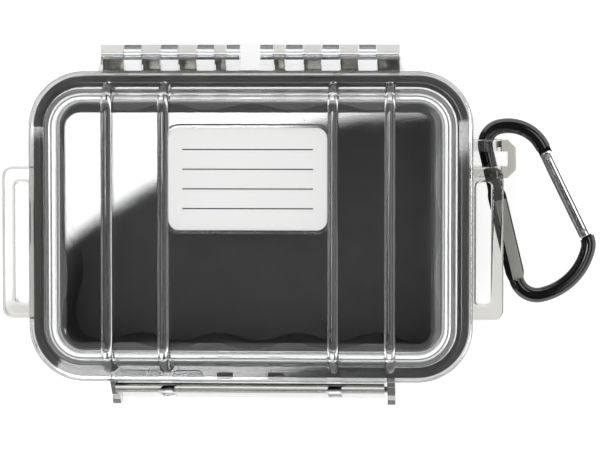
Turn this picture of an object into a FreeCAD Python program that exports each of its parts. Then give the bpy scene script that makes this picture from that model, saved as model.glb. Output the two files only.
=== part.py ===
"""A compact hard case: clear base and lid, rubber liner, latch, pressure valve and snap hook.

Millimetres. +X points to the snap hook's side, +Y to the hinge and +Z out of the lid.
The origin is the centre of the base's flat underside.
"""

import FreeCAD, Part
import math
import os
import Sketcher

os.makedirs("parts", exist_ok=True)
doc = FreeCAD.newDocument("compact_hard_case")
sheet = doc.addObject("Spreadsheet::Sheet", "Sizes")
Vector = FreeCAD.Vector


# A length that remembers its formula on the sheet

class Size(float):
    """A number that carries its formula on the sheet, so that what it shapes stays bound to the sheet."""

    def __new__(cls, number, formula):
        made = super().__new__(cls, number)
        made.formula = formula
        return made

    def __add__(self, other):
        return Size(float(self) + float(other), f"({self.formula} + {formula_of(other)})")

    def __sub__(self, other):
        return Size(float(self) - float(other), f"({self.formula} - {formula_of(other)})")

    def __mul__(self, other):
        return Size(float(self) * float(other), f"({self.formula} * {formula_of(other)})")

    def __truediv__(self, other):
        return Size(float(self) / float(other), f"({self.formula} / {formula_of(other)})")

    def __neg__(self):
        return Size(-float(self), f"(0 - {self.formula})")

    __radd__ = __add__
    __rmul__ = __mul__


def formula_of(value):
    """The sheet formula of a size, or the digits of a plain number."""
    return getattr(value, "formula", repr(float(value)))


sheet_names = []


def size(name, number):
    """Writes one driving dimension on the sheet's next row and hands it back."""
    sheet_names.append(name)
    row = len(sheet_names)
    sheet.set(f"A{row}", name)
    sheet.set(f"B{row}", str(number))
    sheet.setAlias(f"B{row}", name)
    return Size(number, f"Sizes.{name}")


# Case: outline, heights and walls

rim_length = size("rim_length", 128.0)
rim_width = size("rim_width", 89.4)
rim_corner = size("rim_corner", 16.0)
base_inner_depth = size("base_inner_depth", 35.0)
lid_inner_depth = size("lid_inner_depth", 8.0)
base_floor = size("base_floor", 3.3)
lid_top_wall = size("lid_top_wall", 3.3)
liner_floor = size("liner_floor", 2.1)
side_wall = size("side_wall", 2.4)
wall_inset = size("wall_inset", 4.4)
draft_angle = size("draft_angle", 1.0)
base_rim_height = size("base_rim_height", 4.4)
lid_rim_height = size("lid_rim_height", 3.2)
rim_lip = size("rim_lip", 1.3)
rim_edge_round = size("rim_edge_round", 0.8)
seat_gap = size("seat_gap", 0.1)
base_foot_round = size("base_foot_round", 4.0)
base_floor_round = size("base_floor_round", 3.0)

# Lid: rounded top edge, ribs and label frame

lid_draft_angle = size("lid_draft_angle", 8.0)
lid_edge_round = size("lid_edge_round", 7.0)
lid_rim_slope = size("lid_rim_slope", 8.0)
lid_wall = size("lid_wall", 3.4)
lid_inner_round = size("lid_inner_round", 4.0)
rib_width = size("rib_width", 3.0)
rib_height = size("rib_height", 2.2)
rib_stand_out = size("rib_stand_out", 1.5)
rib_round = size("rib_round", 1.4)
label_length = size("label_length", 45.2)
label_width = size("label_width", 29.1)
label_thickness = size("label_thickness", 0.4)
label_corner = size("label_corner", 3.0)
label_y = size("label_y", 14.1)
frame_bead = size("frame_bead", 1.0)
frame_height = size("frame_height", 0.8)
frame_round = size("frame_round", 0.4)

# Liner: scalloped walls and the seal bead on its rim

liner_rim = size("liner_rim", 1.8)
liner_wall = size("liner_wall", 1.7)
seal_bead_width = size("seal_bead_width", 1.7)
seal_bead_height = size("seal_bead_height", 1.2)
seal_bead_inset = size("seal_bead_inset", 1.6)
liner_corner = size("liner_corner", 8.0)
scallop_depth = size("scallop_depth", 2.4)
front_scallops = 4
side_scallops = 2

# Hinge: two groups of knuckles on two pins

hinge_reach = size("hinge_reach", 4.4)
knuckle_radius = size("knuckle_radius", 3.2)
knuckle_bevel = size("knuckle_bevel", 2.2)
knuckle_drop = size("knuckle_drop", 2.4)
knuckle_shoulder = size("knuckle_shoulder", 2.5)
knuckle_top = size("knuckle_top", 2.6)
pin_radius = size("pin_radius", 1.0)
pin_clearance = size("pin_clearance", 0.05)
hinge_start_x = size("hinge_start_x", 3.1)
knuckle_pitch = size("knuckle_pitch", 5.15)
knuckle_gap = size("knuckle_gap", 0.3)
knuckle_web = size("knuckle_web", 5.4)
gusset_slope = size("gusset_slope", 1.2)
knuckle_width_shares = (0.75, 0.65, 1.0, 1.03, 1.0, 1.05, 1.0, 1.3)

# Base: strap loops, ledges, the snap hook's lug and the ribs' feet

loop_reach = size("loop_reach", 8.8)
loop_bar = size("loop_bar", 3.6)
loop_window = size("loop_window", 4.3)
loop_low_y = size("loop_low_y", -27.2)
loop_high_y = size("loop_high_y", 17.1)
loop_arm = size("loop_arm", 4.4)
loop_height = size("loop_height", 6.0)
loop_corner = size("loop_corner", 3.0)
window_corner = size("window_corner", 1.2)
loop_edge_round = size("loop_edge_round", 0.8)
ledge_half = size("ledge_half", 28.0)
ledge_height = size("ledge_height", 3.0)
lug_reach = size("lug_reach", 12.4)
lug_low_y = size("lug_low_y", 13.8)
lug_width = size("lug_width", 11.1)
lug_arm = size("lug_arm", 3.4)
lug_outer_wall = size("lug_outer_wall", 2.4)
lug_wall = size("lug_wall", 4.0)
lug_plate = size("lug_plate", 2.4)
lug_hole_half = size("lug_hole_half", 4.6)
lug_corner = size("lug_corner", 2.5)
lug_bevel = size("lug_bevel", 2.4)
lug_edge_round = size("lug_edge_round", 0.8)
clip_z = size("clip_z", 24.0)
wall_rib_foot = size("wall_rib_foot", 5.0)

# Latch: flap, lip and barrel, the ears that hold it, and the locators beside its tab

latch_half = size("latch_half", 38.7)
latch_pin_reach = size("latch_pin_reach", 4.0)
latch_pin_z = size("latch_pin_z", 25.0)
latch_barrel = size("latch_barrel", 2.4)
latch_wall = size("latch_wall", 2.6)
latch_lip = size("latch_lip", 1.6)
latch_lip_reach = size("latch_lip_reach", 3.4)
latch_rib_gap = size("latch_rib_gap", 0.5)
latch_gap = size("latch_gap", 0.2)
latch_round = size("latch_round", 1.2)
latch_lip_corner = size("latch_lip_corner", 1.2)
tab_half = size("tab_half", 13.7)
ear_wall = size("ear_wall", 2.3)
ear_gap = size("ear_gap", 0.55)
ear_radius = size("ear_radius", 4.5)
locator_x = size("locator_x", 7.4)
locator_width = size("locator_width", 4.2)
locator_depth = size("locator_depth", 1.8)
locator_height = size("locator_height", 1.2)
latch_flute = size("latch_flute", 0.7)
rod_end_round = size("rod_end_round", 0.3)

# Pressure valve

valve_z = size("valve_z", 17.0)
valve_shank = size("valve_shank", 3.9)
valve_fit = size("valve_fit", 0.1)
valve_boss = size("valve_boss", 7.6)
valve_boss_height = size("valve_boss_height", 0.8)
valve_flange = size("valve_flange", 1.9)
valve_flange_radius = size("valve_flange_radius", 6.2)
valve_well = size("valve_well", 4.2)
valve_well_depth = size("valve_well_depth", 1.0)
valve_passage = size("valve_passage", 1.6)
valve_seal_radius = size("valve_seal_radius", 5.0)
valve_seal_wire = size("valve_seal_wire", 0.45)
valve_membrane_thickness = size("valve_membrane_thickness", 0.25)
valve_cap_wall = size("valve_cap_wall", 1.0)
valve_cap_skirt = size("valve_cap_skirt", 0.8)
cap_vent_circle = size("cap_vent_circle", 2.0)
cap_vent_radius = size("cap_vent_radius", 0.5)
cap_vents = 6
nut_sides = 6
valve_nut = size("valve_nut", 6.0)
valve_nut_width = size("valve_nut_width", 2.0)
valve_nut_room = size("valve_nut_room", 0.5)
valve_tip = size("valve_tip", 0.3)

# Snap hook: rod, gate and what the gate holds

clip_reach = size("clip_reach", 3.7)
clip_drop = size("clip_drop", 2.7)
clip_lean = size("clip_lean", 13.4)
gate_lean = size("gate_lean", 12.6)
clip_rod = size("clip_rod", 2.2)
clip_spine = size("clip_spine", 39.2)
clip_top_bend = size("clip_top_bend", 5.3)
clip_top_sweep = size("clip_top_sweep", 11.3)
clip_foot_bend = size("clip_foot_bend", 6.2)
clip_foot_sweep = size("clip_foot_sweep", 18.0)
clip_foot_turn = size("clip_foot_turn", 64.0)
clip_nose_bend = size("clip_nose_bend", 5.0)
pivot_drop = size("pivot_drop", 2.9)
tongue_reach = size("tongue_reach", 2.6)
tongue_half = size("tongue_half", 0.85)
tongue_round = size("tongue_round", 1.9)
nose_reach = size("nose_reach", 4.2)
nose_half = size("nose_half", 1.6)
nose_pin_share = 0.55
gate_radius = size("gate_radius", 2.1)
gate_bore = size("gate_bore", 1.45)
gate_slot_gap = size("gate_slot_gap", 0.12)
gate_tip_gap = size("gate_tip_gap", 0.5)
gate_slot_top = size("gate_slot_top", 3.4)
gate_slot_nose = size("gate_slot_nose", 5.0)
rivet_radius = size("rivet_radius", 0.8)
nose_pin_radius = size("nose_pin_radius", 0.6)
nose_pin_room = size("nose_pin_room", 0.15)
spring_radius = size("spring_radius", 1.3)
spring_wire = size("spring_wire", 0.35)
plunger_length = size("plunger_length", 4.0)
spine_flat_start = size("spine_flat_start", 12.0)
spine_flat_depth = size("spine_flat_depth", 0.9)
spine_plate_half = size("spine_plate_half", 2.7)
spine_plate_taper = size("spine_plate_taper", 2.0)

# How far cuts run past the faces that they break

overrun = size("overrun", 1.0)

# Heights and places, worked out from the walls and from what each piece lines up with

inner_floor_z = base_floor + seat_gap + liner_floor
parting_z = inner_floor_z + base_inner_depth
rim_low_z = parting_z - base_rim_height
lid_rim_z = parting_z + lid_rim_height
lid_roof_z = parting_z + lid_inner_depth
lid_top_z = lid_roof_z + lid_top_wall
rib_top_z = lid_top_z + rib_height
rim_end_x = rim_length / 2
rim_end_y = rim_width / 2
wall_end_x = rim_end_x - wall_inset
wall_end_y = rim_end_y - wall_inset
wall_corner = rim_corner - wall_inset
liner_seat_z = parting_z - seat_gap - liner_rim - seat_gap
hinge_y = rim_end_y + hinge_reach
latch_pin_y = rim_end_y + latch_pin_reach
loop_end_x = rim_end_x + loop_reach
lug_end_x = rim_end_x + lug_reach
lug_high_y = lug_low_y + lug_width
clip_x = rim_end_x + clip_reach
clip_y = lug_high_y - clip_drop
inner_rib_x = label_length / 2 + seat_gap + rib_width / 2
outer_rib_x = latch_half + latch_gap + rib_width / 2


# Sketch and feature helpers

def slope(height, angle):
    """How far a face strays over a height, or over a width, when it is drafted by an angle."""
    return height * math.tan(math.radians(angle))


def origin_plane(body, role):
    """One of the body's own origin planes."""
    return next(f for f in body.Origin.OriginFeatures if f.Role == role)


def new_body(name):
    """A body whose label names its node."""
    made = doc.addObject("PartDesign::Body", name)
    made.Label = name
    return made


def new_sketch(body, name, role="XY_Plane", offset=0):
    """A sketch on one of the body's planes, set off along the plane's normal."""
    sketch = body.newObject("Sketcher::SketchObject", name)
    sketch.AttachmentSupport = [(origin_plane(body, role), "")]
    sketch.MapMode = "FlatFace"
    sketch.setExpression("AttachmentOffset.Base.z", formula_of(offset))
    return sketch


held_points = {}


def pin_point(sketch, geometry, point, x, y):
    """Holds a point of the sketch at x and y from its origin, or on a point that is held there already."""
    place = (sketch.Name, formula_of(x), formula_of(y))
    if place in held_points:
        sketch.addConstraint(Sketcher.Constraint("Coincident", *held_points[place], geometry, point))
        return
    held_points[place] = (geometry, point)
    for kind, value in (("DistanceX", x), ("DistanceY", y)):
        rule = Sketcher.Constraint(kind, -1, 1, geometry, point, float(value))
        index = sketch.addConstraint(rule)
        sketch.setExpression(f"Constraints[{index}]", formula_of(value))


def flat(x, y):
    """A point of a sketch as a vector."""
    return Vector(float(x), float(y), 0)


def draw_line(sketch, start, end):
    """A line between two held points."""
    made = sketch.addGeometry(Part.LineSegment(flat(*start), flat(*end)))
    pin_point(sketch, made, 1, *start)
    pin_point(sketch, made, 2, *end)
    return made


def draw_polygon(sketch, points):
    """A closed outline of straight lines."""
    for start, end in zip(points, points[1:] + points[:1]):
        draw_line(sketch, start, end)


def draw_box(sketch, left, right, low, high):
    """A rectangle by its four sides."""
    draw_polygon(sketch, [(left, low), (right, low), (right, high), (left, high)])


def draw_circle(sketch, x, y, radius):
    """A circle held by its centre and radius."""
    made = sketch.addGeometry(Part.Circle(flat(x, y), Vector(0, 0, 1), float(radius)))
    pin_point(sketch, made, 3, x, y)
    index = sketch.addConstraint(Sketcher.Constraint("Radius", made, float(radius)))
    sketch.setExpression(f"Constraints[{index}]", formula_of(radius))


def draw_arc(sketch, start, end, radius):
    """An arc that turns left from one held point to another, by less than half a turn."""
    first = flat(*start)
    last = flat(*end)
    chord = last - first
    reach = math.sqrt(float(radius) ** 2 - (chord.Length / 2) ** 2)
    centre = (first + last) / 2 + Vector(-chord.y, chord.x, 0).normalize() * reach
    angles = [math.atan2(point.y - centre.y, point.x - centre.x) for point in (first, last)]
    circle = Part.Circle(centre, Vector(0, 0, 1), float(radius))
    made = sketch.addGeometry(Part.ArcOfCircle(circle, *angles))
    pin_point(sketch, made, 1, *start)
    pin_point(sketch, made, 2, *end)
    index = sketch.addConstraint(Sketcher.Constraint("Radius", made, float(radius)))
    sketch.setExpression(f"Constraints[{index}]", formula_of(radius))


def draw_rounded(sketch, left, right, low, high, radius):
    """A rectangle with round corners, by its four sides and its corner radius."""
    sides = [
        ((left + radius, low), (right - radius, low)),
        ((right, low + radius), (right, high - radius)),
        ((right - radius, high), (left + radius, high)),
        ((left, high - radius), (left, low + radius)),
    ]
    for side, following in zip(sides, sides[1:] + sides[:1]):
        draw_line(sketch, *side)
        draw_arc(sketch, side[1], following[0], radius)


def draw_arch(sketch, half, low, high, radius):
    """An arch about the sketch's upright axis: square feet and two round shoulders."""
    shoulder = high - radius
    draw_line(sketch, (-half, shoulder), (-half, low))
    draw_line(sketch, (-half, low), (half, low))
    draw_line(sketch, (half, low), (half, shoulder))
    draw_arc(sketch, (half, shoulder), (half - radius, high), radius)
    draw_line(sketch, (half - radius, high), (-half + radius, high))
    draw_arc(sketch, (-half + radius, high), (-half, shoulder), radius)


def draw_centred(sketch, half_x, half_y, radius):
    """A rectangle with round corners about the sketch's origin."""
    draw_rounded(sketch, -half_x, half_x, -half_y, half_y, radius)


def extrude(body, kind, sketch, length, draft=0, middle=False, back=False):
    """Pads or pockets a sketch by a length."""
    feature = body.newObject(f"PartDesign::{kind}", f"{sketch.Name}{kind}")
    feature.Profile = sketch
    feature.setExpression("Length", formula_of(length))
    if draft:
        feature.setExpression("TaperAngle", formula_of(draft))
    feature.Midplane = middle
    feature.Reversed = back
    sketch.Visibility = False
    return feature


def pad(body, sketch, length, **options):
    """Adds material."""
    return extrude(body, "Pad", sketch, length, **options)


def pocket(body, sketch, length, **options):
    """Cuts material away, and stops if it misses."""
    doc.recompute()
    before = body.Shape.Volume
    feature = extrude(body, "Pocket", sketch, length, **options)
    doc.recompute()
    if not body.Shape.Volume < before:
        raise ValueError(f"{feature.Name} cuts nothing")
    return feature


def round_edges(body, name, radius, wanted):
    """Fillets the edges of the body's tip whose middle and box pass a test."""
    doc.recompute()
    base = body.Tip
    names = []
    for number, edge in enumerate(base.Shape.Edges, 1):
        middle = edge.valueAt((edge.FirstParameter + edge.LastParameter) / 2)
        if wanted(middle, edge):
            names.append(f"Edge{number}")
    if not names:
        raise ValueError(f"{name} finds no edge")
    fillet = body.newObject("PartDesign::Fillet", name)
    fillet.Base = (base, names)
    fillet.setExpression("Radius", formula_of(radius))
    return fillet


tolerance = 1e-4
upright = 90


def near(number, target):
    """True where two lengths agree within the modelling tolerance."""
    return abs(float(number) - float(target)) < tolerance


def outside_rim(point):
    """How far a point lies outside the rim's outline, seen from above."""
    reach_x = abs(point.x) - (rim_end_x - rim_corner)
    reach_y = abs(point.y) - (rim_end_y - rim_corner)
    beyond = math.hypot(max(float(reach_x), 0), max(float(reach_y), 0))
    return beyond + min(max(float(reach_x), float(reach_y)), 0) - float(rim_corner)


def knuckle_spans():
    """The spans of one group of knuckles along X, from the middle outwards, and whether each is the lid's."""
    spans = []
    start = hinge_start_x
    for place, share in enumerate(knuckle_width_shares):
        width = knuckle_pitch * share
        spans.append((start, start + width - knuckle_gap, place % 2 == 0))
        start = start + width
    return spans


hinge_end_x = knuckle_spans()[-1][1]


# What several pieces share

def hinge_gaps(own_is_lid):
    """Spans along +X that one half of the hinge leaves free for the other half's knuckles."""
    free = [(-overrun, hinge_start_x - knuckle_gap / 2)]
    for start, end, is_lid in knuckle_spans():
        if is_lid != own_is_lid:
            free.append((start - knuckle_gap, end + knuckle_gap))
    return free


def add_hinge_half(body, own_is_lid, profile, web_top):
    """One knuckle's profile over the whole hinge, cut back to this half's own knuckles and bored for the pins."""
    name = "Lid" if own_is_lid else "Base"
    side = new_sketch(body, f"{name}HingeWeb", "YZ_Plane")
    draw_polygon(side, profile)
    pad(body, side, hinge_end_x * 2, middle=True)
    gaps = new_sketch(body, f"{name}HingeGaps", offset=web_top)
    face = rim_end_y + knuckle_gap
    for start, end in hinge_gaps(own_is_lid):
        if start < 0:
            draw_box(gaps, -end, end, face, hinge_y + knuckle_radius + overrun)
            continue
        draw_box(gaps, start, end, face, hinge_y + knuckle_radius + overrun)
        draw_box(gaps, -end, -start, face, hinge_y + knuckle_radius + overrun)
    pocket(body, gaps, knuckle_radius * 4 + knuckle_web)
    bore = new_sketch(body, f"{name}HingeBore", "YZ_Plane")
    draw_circle(bore, hinge_y, parting_z, pin_radius + pin_clearance)
    pocket(body, bore, (hinge_end_x + overrun) * 2, middle=True)


# Lid

lid = new_body("lid_shell")
lid_rim = new_sketch(lid, "LidRim", offset=parting_z)
draw_centred(lid_rim, rim_end_x, rim_end_y, rim_corner)
lid_rim_fall = slope(wall_inset, lid_rim_slope)
lid_rim_edge_z = lid_rim_z - lid_rim_fall
pad(lid, lid_rim, lid_rim_height - lid_rim_fall)
lid_rim_top = new_sketch(lid, "LidRimTop", offset=lid_rim_edge_z)
draw_centred(lid_rim_top, rim_end_x, rim_end_y, rim_corner)
pad(lid, lid_rim_top, slope(wall_inset + overrun, lid_rim_slope), draft=lid_rim_slope - upright)
round_edges(
    lid, "LidRimRound", rim_edge_round, lambda middle, edge: near(middle.z, lid_rim_edge_z)
)
lid_box = new_sketch(lid, "LidBox", offset=lid_rim_edge_z)
draw_centred(lid_box, wall_end_x, wall_end_y, wall_corner)
pad(lid, lid_box, lid_top_z - lid_rim_edge_z, draft=-lid_draft_angle)
round_edges(lid, "LidTopRound", lid_edge_round, lambda middle, edge: near(middle.z, lid_top_z))

rib_end_y = wall_end_y + rib_stand_out
rib_corner = lid_edge_round + rib_stand_out
rib_places = [-outer_rib_x, -inner_rib_x, inner_rib_x, outer_rib_x]
for number, place in enumerate(rib_places, 1):
    arch = new_sketch(lid, f"LidRib{number}", "YZ_Plane", place - rib_width / 2)
    draw_arch(arch, rib_end_y, lid_rim_edge_z, rib_top_z, rib_corner)
    pad(lid, arch, rib_width)


def on_rib_edge(middle, edge):
    """True on the long outer edges of the ribs."""
    beside = min(abs(abs(middle.x - place) - rib_width / 2) for place in rib_places)
    reach_y = abs(middle.y) - (rib_end_y - rib_corner)
    reach_z = middle.z - (rib_top_z - rib_corner)
    on_side = near(abs(middle.y), rib_end_y) and middle.z > lid_rim_z
    on_top = near(middle.z, rib_top_z)
    on_bend = near(math.hypot(reach_y, reach_z), rib_corner) and reach_y > 0 and reach_z > 0
    return near(beside, 0) and (on_side or on_top or on_bend)


round_edges(lid, "LidRibRound", rib_round, on_rib_edge)

frame_x = label_length / 2 + seat_gap
frame_low = label_y - label_width / 2 - seat_gap
frame_high = label_y + label_width / 2 + seat_gap
frame = new_sketch(lid, "LabelFrame", offset=lid_top_z)
draw_rounded(
    frame,
    -frame_x - frame_bead,
    frame_x + frame_bead,
    frame_low - frame_bead,
    frame_high + frame_bead,
    label_corner + seat_gap + frame_bead,
)
draw_rounded(frame, -frame_x, frame_x, frame_low, frame_high, label_corner + seat_gap)
pad(lid, frame, frame_height)
round_edges(
    lid,
    "LabelFrameRound",
    frame_round,
    lambda middle, edge: near(middle.z, lid_top_z + frame_height)
    and (near(middle.y, frame_low - frame_bead) or near(middle.y, frame_high + frame_bead)),
)

locators = new_sketch(lid, "LidLocators", offset=lid_rim_edge_z)
locator_y = wall_end_y + rib_stand_out
for side in (-1, 1):
    middle_x = locator_x * side
    half = locator_width / 2
    draw_box(locators, middle_x - half, middle_x + half, -locator_y - locator_depth, -locator_y)
pad(lid, locators, lid_rim_fall + locator_height)

lid_knuckle = [
    (rim_end_y - overrun, parting_z),
    (hinge_y - knuckle_drop, parting_z),
    (hinge_y - knuckle_drop, parting_z - knuckle_drop),
    (hinge_y + knuckle_radius - knuckle_bevel, parting_z - knuckle_drop),
    (hinge_y + knuckle_radius, parting_z - knuckle_drop + knuckle_bevel),
    (hinge_y + knuckle_radius, parting_z + knuckle_radius - knuckle_bevel),
    (hinge_y + knuckle_radius - knuckle_bevel, parting_z + knuckle_radius),
    (rim_end_y - overrun, lid_rim_edge_z),
]
add_hinge_half(lid, True, lid_knuckle, lid_rim_z + knuckle_web)

lid_inner_x = wall_end_x - lid_wall
lid_inner_y = wall_end_y - lid_wall
lid_hollow = new_sketch(lid, "LidHollow", offset=parting_z)
draw_centred(lid_hollow, lid_inner_x, lid_inner_y, wall_corner - lid_wall)
pocket(lid, lid_hollow, lid_inner_depth, draft=-draft_angle, back=True)
round_edges(lid, "LidRoofRound", lid_inner_round, lambda middle, edge: near(middle.z, lid_roof_z))

groove_in = seal_bead_inset + seal_bead_width + seat_gap
groove_out = seal_bead_inset - seat_gap
groove = new_sketch(lid, "LidSealGroove", offset=parting_z)
draw_centred(groove, rim_end_x - groove_out, rim_end_y - groove_out, rim_corner - groove_out)
draw_centred(groove, rim_end_x - groove_in, rim_end_y - groove_in, rim_corner - groove_in)
pocket(lid, groove, seal_bead_height + seat_gap, back=True)


# Base

wall_lean = slope(rim_low_z, draft_angle)
base_rim_top = parting_z - seat_gap

base = new_body("base_shell")
base_box = new_sketch(base, "BaseBox")
draw_centred(base_box, wall_end_x - wall_lean, wall_end_y - wall_lean, wall_corner - wall_lean)
pad(base, base_box, rim_low_z, draft=draft_angle)
round_edges(base, "BaseFootRound", base_foot_round, lambda middle, edge: near(middle.z, 0))

base_rim = new_sketch(base, "BaseRim", offset=rim_low_z)
draw_centred(base_rim, rim_end_x, rim_end_y, rim_corner)
pad(base, base_rim, base_rim_top - rim_low_z)
round_edges(
    base,
    "BaseRimRound",
    rim_edge_round,
    lambda middle, edge: near(middle.z, rim_low_z) and near(outside_rim(middle), 0),
)

lug_foot_x = wall_end_x - side_wall
lug_half = lug_hole_half + lug_plate
lug_low_z = clip_z - lug_half
lug_high_z = clip_z + lug_half
lug = new_sketch(base, "ClipLug", offset=lug_low_z)
draw_polygon(
    lug,
    [
        (lug_foot_x, lug_low_y),
        (lug_end_x - lug_bevel, lug_low_y),
        (lug_end_x, lug_low_y + lug_bevel),
        (lug_end_x, lug_high_y - lug_bevel),
        (lug_end_x - lug_bevel, lug_high_y),
        (lug_foot_x, lug_high_y),
    ],
)
pad(base, lug, lug_half * 2)
round_edges(
    base,
    "ClipLugCorners",
    lug_edge_round,
    lambda middle, edge: near(middle.z, clip_z) and outside_rim(middle) > lug_edge_round,
)
round_edges(
    base,
    "ClipLugRound",
    lug_edge_round,
    lambda middle, edge: outside_rim(middle) > 0
    and (near(middle.z, lug_low_z) or near(middle.z, lug_high_z)),
)

ribs = new_sketch(base, "BaseWallRibs", offset=wall_rib_foot)
rib_root_y = wall_end_y - side_wall
for place in rib_places:
    for side in (-1, 1):
        near_y, far_y = sorted((rib_root_y * side, rib_end_y * side))
        draw_box(ribs, place - rib_width / 2, place + rib_width / 2, near_y, far_y)
pad(base, ribs, rim_low_z - wall_rib_foot + overrun)

window_x = loop_end_x - loop_bar - loop_window
loop_low_z = rim_low_z - loop_height
for side, name in ((-1, "Left"), (1, "Right")):
    ledge = new_sketch(base, f"Ledge{name}", offset=rim_low_z - ledge_height)
    near_x, far_x = sorted(((wall_end_x - side_wall) * side, rim_end_x * side))
    draw_box(ledge, near_x, far_x, -ledge_half, ledge_half)
    pad(base, ledge, ledge_height + overrun)
    loop = new_sketch(base, f"Strap{name}", offset=loop_low_z)
    near_x, far_x = sorted(((wall_end_x - side_wall) * side, loop_end_x * side))
    draw_rounded(loop, near_x, far_x, loop_low_y, loop_high_y, loop_corner)
    near_x, far_x = sorted((window_x * side, (window_x + loop_window) * side))
    draw_rounded(
        loop, near_x, far_x, loop_low_y + loop_arm, loop_high_y - loop_arm, window_corner
    )
    pad(base, loop, loop_height)


def on_loop_edge(middle, edge):
    """True on the loops' upper edges, and on the lower edges of the loop that carries no lug."""
    upper = near(middle.z, rim_low_z)
    lower = near(middle.z, loop_low_z) and middle.x < 0
    return outside_rim(middle) > tolerance and (upper or lower)


round_edges(base, "LoopRound", loop_edge_round, on_loop_edge)

lug_hole = new_sketch(base, "ClipLugHole", "XZ_Plane", -lug_high_y - overrun)
draw_rounded(
    lug_hole,
    wall_end_x + overrun,
    lug_end_x - lug_wall,
    clip_z - lug_hole_half,
    clip_z + lug_hole_half,
    lug_corner,
)
pocket(base, lug_hole, lug_width + overrun * 2, back=True)
lug_window = new_sketch(base, "ClipLugWindow", offset=lug_high_z)
draw_box(
    lug_window,
    wall_end_x + overrun,
    lug_end_x - lug_outer_wall,
    lug_low_y + lug_arm,
    lug_high_y - lug_arm,
)
pocket(base, lug_window, lug_half * 2)

for side, name in ((-1, "Left"), (1, "Right")):
    ear_in = (latch_half + ear_gap) * side
    ear_out = ear_in + ear_wall * side
    low_x = min(ear_in, ear_out, key=float)
    cheek = new_sketch(base, f"Ear{name}", "YZ_Plane", low_x)
    draw_polygon(
        cheek,
        [
            (-rib_root_y, rim_low_z + overrun),
            (-rim_end_y, rim_low_z + overrun),
            (-rim_end_y, rim_low_z),
            (-latch_pin_y - ear_radius, latch_pin_z),
            (-latch_pin_y, latch_pin_z - ear_radius),
            (-rib_root_y, latch_pin_z - ear_radius * 2),
        ],
    )
    pad(base, cheek, ear_wall)
    knob = new_sketch(base, f"EarRound{name}", "YZ_Plane", low_x)
    draw_circle(knob, -latch_pin_y, latch_pin_z, ear_radius)
    pad(base, knob, ear_wall)

gussets = new_sketch(base, "HingeGussets", offset=parting_z - knuckle_radius)
for side in (-1, 1):
    draw_polygon(
        gussets,
        [
            ((hinge_end_x - overrun) * side, rim_end_y - overrun),
            ((hinge_end_x + gusset_slope) * side, rim_end_y - overrun),
            ((hinge_end_x + gusset_slope) * side, rim_end_y),
            (hinge_end_x * side, hinge_y),
            ((hinge_end_x - overrun) * side, hinge_y),
        ],
    )
pad(base, gussets, base_rim_top - parting_z + knuckle_radius)

base_knuckle = [
    (rim_end_y - overrun, base_rim_top),
    (hinge_y - knuckle_shoulder, base_rim_top),
    (hinge_y - knuckle_shoulder, parting_z + knuckle_top),
    (hinge_y + knuckle_radius, parting_z + knuckle_top),
    (hinge_y + knuckle_radius, parting_z - knuckle_radius),
    (hinge_y, parting_z - knuckle_radius),
    (rim_end_y - overrun, parting_z - knuckle_radius - knuckle_web),
]
add_hinge_half(base, False, base_knuckle, parting_z + knuckle_radius + overrun)

boss = new_sketch(base, "ValveBoss", "YZ_Plane", -wall_end_x - valve_boss_height)
draw_circle(boss, 0, valve_z, valve_boss)
pad(base, boss, side_wall)

seat = new_sketch(base, "LinerSeat", offset=base_rim_top)
draw_centred(seat, rim_end_x - rim_lip, rim_end_y - rim_lip, rim_corner - rim_lip)
pocket(base, seat, base_rim_top - liner_seat_z)

hollow_x = wall_end_x - side_wall
hollow_y = wall_end_y - side_wall
hollow_corner = wall_corner - side_wall
hollow = new_sketch(base, "BaseHollow", offset=liner_seat_z)
draw_centred(hollow, hollow_x, hollow_y, hollow_corner)
pocket(base, hollow, liner_seat_z - base_floor, draft=-draft_angle)
round_edges(base, "BaseFloorRound", base_floor_round, lambda middle, edge: near(middle.z, base_floor))

valve_bore = new_sketch(base, "ValveBore", "YZ_Plane", -wall_end_x - valve_boss_height - overrun)
draw_circle(valve_bore, 0, valve_z, valve_shank + valve_fit)
pocket(base, valve_bore, (side_wall + valve_boss_height + overrun) * 2, back=True)

ear_bore = new_sketch(base, "EarBore", "YZ_Plane")
draw_circle(ear_bore, -latch_pin_y, latch_pin_z, pin_radius + pin_clearance)
pocket(base, ear_bore, (latch_half + ear_gap + ear_wall + overrun) * 2, middle=True)


# Liner


def draw_scallops(sketch, start, along, inward, length, count):
    """One wall of the liner's hollow: a wave of tangent arcs that starts and ends in a trough."""
    quarter = length / (count * 4)
    rise = scallop_depth / 2
    radius = (quarter * quarter + rise * rise) / (rise * 2)

    def place(step, depth):
        """A point of the wall, by quarter waves along it and by its depth into the hollow."""
        reach = quarter * step
        return (
            start[0] + reach * along[0] + depth * inward[0],
            start[1] + reach * along[1] + depth * inward[1],
        )

    for wave in range(count):
        first = place(wave * 4, 0)
        rising = place(wave * 4 + 1, rise)
        falling = place(wave * 4 + 3, rise)
        last = place(wave * 4 + 4, 0)
        draw_arc(sketch, first, rising, radius)
        draw_arc(sketch, falling, rising, radius)
        draw_arc(sketch, falling, last, radius)


liner_low_z = base_floor + seat_gap
liner_top_z = base_rim_top
liner_rim_z = liner_top_z - liner_rim
liner_x = hollow_x - seat_gap
liner_y = hollow_y - seat_gap
liner_lean = slope(liner_rim_z - liner_low_z, draft_angle)
liner_round = hollow_corner - seat_gap

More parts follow.
